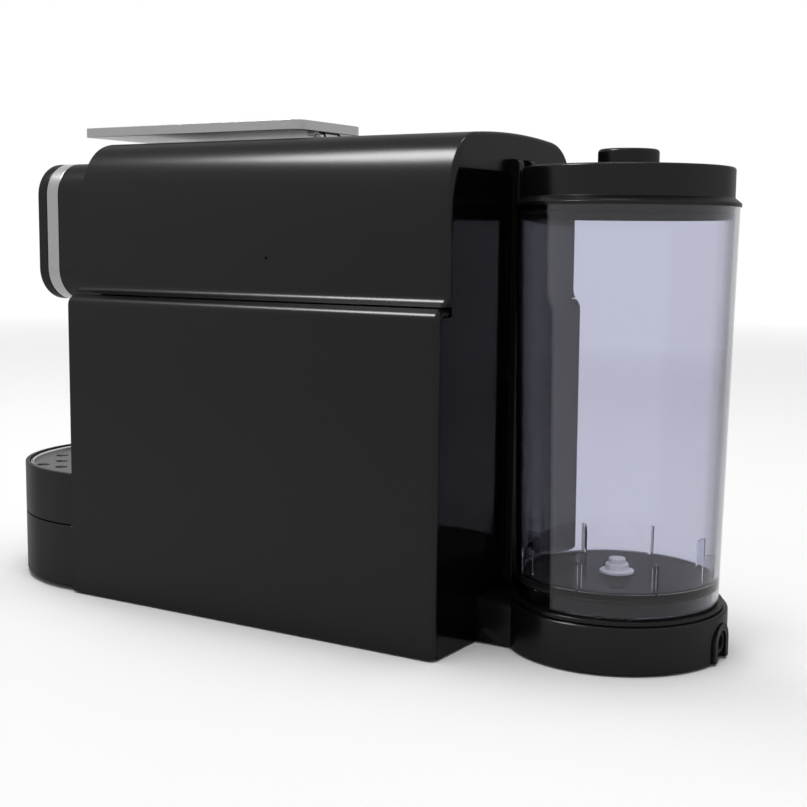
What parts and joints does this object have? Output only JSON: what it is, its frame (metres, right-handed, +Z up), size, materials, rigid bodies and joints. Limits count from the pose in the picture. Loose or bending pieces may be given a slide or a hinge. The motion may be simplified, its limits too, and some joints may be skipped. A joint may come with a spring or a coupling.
{
  "type": "pod coffee machine",
  "caption": "Narrow pod coffee machine with a flat top lever, a round rear water tank and a round drip tray with a perforated grid.",
  "frame": {"origin": "middle of the machine's box, at the level of the table under its feet", "axes": "+Z up, -Y towards the coffee head and the user, +Y towards the water tank, +X to the right as seen from the front"},
  "size_m": [0.1488, 0.4122, 0.2486],
  "materials": {
    "satin_black": "satin moulded black plastic, soft highlight",
    "gloss_black": "mirror-glossy black plastic",
    "inner_plastic": "plain dark moulded plastic",
    "rubber": "matt black rubber",
    "silver_trim": "satin metallised trim",
    "grey_plastic": "grey moulded plastic",
    "circuit_board": "green laminate",
    "lever_metal": "satin aluminium",
    "steel": "plain steel",
    "cast_metal": "as-cast aluminium",
    "pump_case": "grey painted case",
    "silicone_tube": "translucent silicone",
    "grid_steel": "punched stainless steel",
    "clear_plastic": "clear plastic with a faint lavender tint",
    "white_plastic": "white moulded plastic"
  },
  "bodies": {
    "body": {"upper_cover": "satin_black", "side_shell_right": "satin_black", "side_shell_left": "satin_black", "front_panel": "satin_black", "rear_panel": "gloss_black", "guide_rib_right": "satin_black", "guide_rib_left": "satin_black", "chassis": "satin_black", "deck": "inner_plastic", "tank_seat": "satin_black", "foot_1": "rubber", "foot_2": "rubber", "foot_3": "rubber", "foot_4": "rubber", "foot_5": "rubber", "head_body": "satin_black", "head_band": "silver_trim", "head_cap": "satin_black", "button_board": "circuit_board", "hinge_bracket_right": "satin_black", "hinge_bracket_left": "satin_black", "hinge_pin": "steel", "idler_axle": "steel", "brew_frame": "inner_plastic", "brew_plate": "cast_metal", "coffee_outlet": "satin_black", "water_tube": "steel", "heater": "cast_metal", "pump": "pump_case", "pump_mount_left": "rubber", "pump_mount_right": "rubber", "inlet_hose": "silicone_tube", "pump_hose": "silicone_tube", "control_board": "circuit_board", "pod_chute": "inner_plastic", "cord_gland": "rubber"},
    "lever": {"lever_plate": "lever_metal", "lever_hub": "inner_plastic"},
    "idler": {"idler_gear": "grey_plastic"},
    "brew_carriage": {"brew_chamber": "grey_plastic"},
    "short_button": {"button_short": "grey_plastic"},
    "long_button": {"button_long": "grey_plastic"},
    "drawer": {"tray_base": "satin_black", "pod_bin": "inner_plastic"},
    "tray": {"drip_tray": "satin_black"},
    "grid": {"drip_grid": "grid_steel"},
    "tank": {"water_tank": "clear_plastic", "valve_body": "white_plastic"},
    "lid": {"tank_lid": "satin_black", "lid_knob": "satin_black", "lid_seal": "rubber"},
    "plunger": {"valve_plunger": "grey_plastic", "valve_spring": "steel"}
  },
  "joints": [
    {"name": "lever_hinge", "type": "hinge", "parent": "body", "child": "lever", "pos_m": [0, -0.0128, 0.2412], "axis": [-1, 0, 0], "range_deg": [0, 62]},
    {"name": "idler_turn", "type": "hinge", "parent": "body", "child": "idler", "pos_m": [0, -0.0128, 0.2112], "axis": [-1, 0, 0], "range_deg": [-145, 0]},
    {"name": "brew_slide", "type": "slide", "parent": "body", "child": "brew_carriage", "axis": [0, 1, 0], "range_m": [0, 0.0228]},
    {"name": "short_button_press", "type": "slide", "parent": "body", "child": "short_button", "axis": [0, 1, 0], "range_m": [0, 0.0015], "stiffness_N_per_m": 400, "springref_m": -0.002},
    {"name": "long_button_press", "type": "slide", "parent": "body", "child": "long_button", "axis": [0, 1, 0], "range_m": [0, 0.0015], "stiffness_N_per_m": 400, "springref_m": -0.002},
    {"name": "drawer_slide", "type": "slide", "parent": "body", "child": "drawer", "axis": [0, -1, 0], "range_m": [0, 0.13]},
    {"name": "tray_lift", "type": "slide", "parent": "drawer", "child": "tray", "axis": [0, 0, 1], "range_m": [0, 0.03]},
    {"name": "grid_lift", "type": "slide", "parent": "tray", "child": "grid", "axis": [0, 0, 1], "range_m": [0, 0.03]},
    {"name": "tank_lift", "type": "slide", "parent": "body", "child": "tank", "axis": [0, 0, 1], "range_m": [0, 0.06]},
    {"name": "lid_lift", "type": "slide", "parent": "tank", "child": "lid", "axis": [0, 0, 1], "range_m": [0, 0.04]},
    {"name": "valve_open", "type": "slide", "parent": "tank", "child": "plunger", "axis": [0, 0, 1], "range_m": [0, 0.0025], "stiffness_N_per_m": 300, "springref_m": -0.002, "deforming": ["valve_spring"]}
  ],
  "couplings": [
    {"joint": "idler_turn", "follows": "lever_hinge", "ratio": -2.3333},
    {"joint": "brew_slide", "follows": "lever_hinge", "m_per_rad": 0.021}
  ]
}
